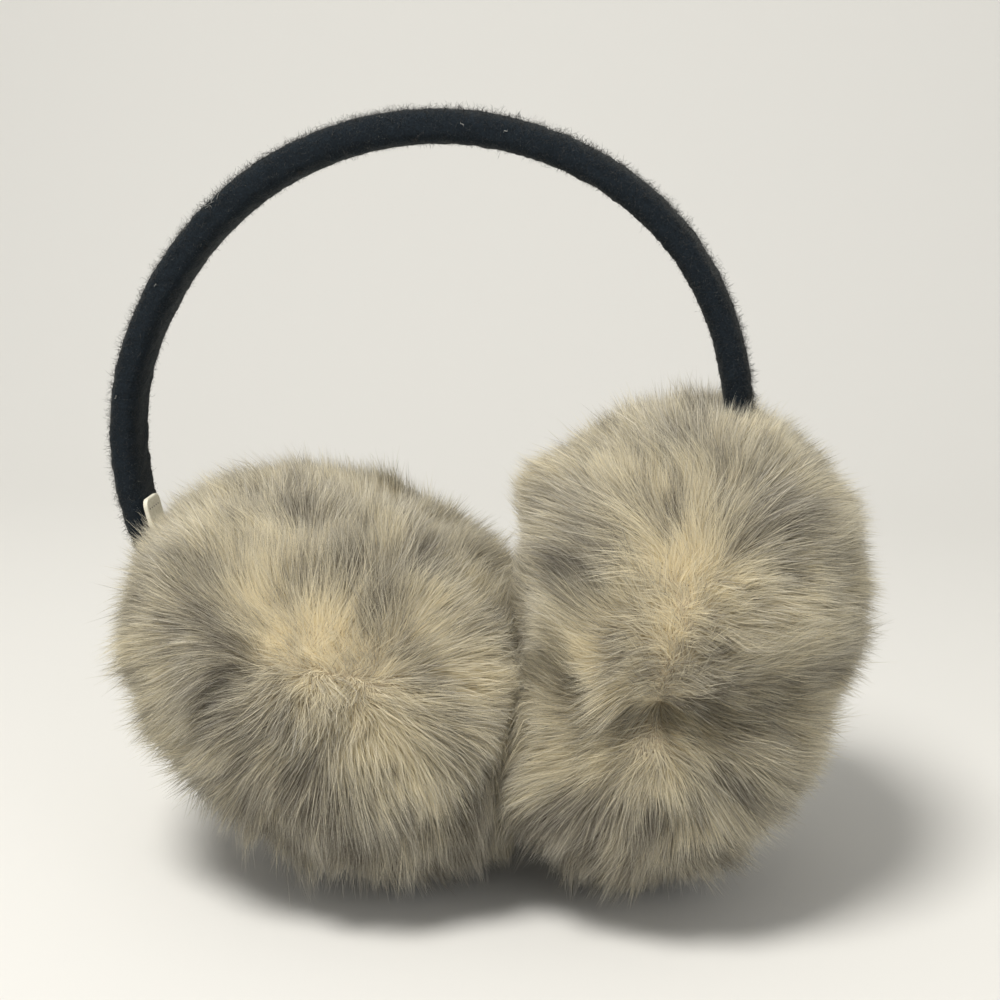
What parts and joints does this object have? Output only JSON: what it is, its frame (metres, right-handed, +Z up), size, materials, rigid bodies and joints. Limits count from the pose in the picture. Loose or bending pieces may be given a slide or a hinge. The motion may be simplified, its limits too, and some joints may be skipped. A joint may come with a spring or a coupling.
{
  "type": "fur earmuffs",
  "caption": "Ear warmers with a curved spring headband wrapped in black fleece and a deep grey-beige fur muff at each end, standing on a flat surface.",
  "frame": {"origin": "centre of the footprint, on the surface the earmuffs stand on", "axes": "+Z up, +X to the right muff as seen from the front, +Y to the back, along the width of the headband's strip"},
  "size_m": [0.1886, 0.121, 0.1867],
  "materials": {
    "black_fleece": "brushed black fleece, soft and matt, with short fuzz",
    "fur": "long-pile imitation fur, grey-beige with cream roots, darker patches and pale tips",
    "cream_cloth": "finely ribbed cream backing cloth, matt"
  },
  "bodies": {
    "root": {"headband": "black_fleece", "left_muff": "fur", "right_muff": "fur", "backing_tab": "cream_cloth"}
  },
  "joints": []
}
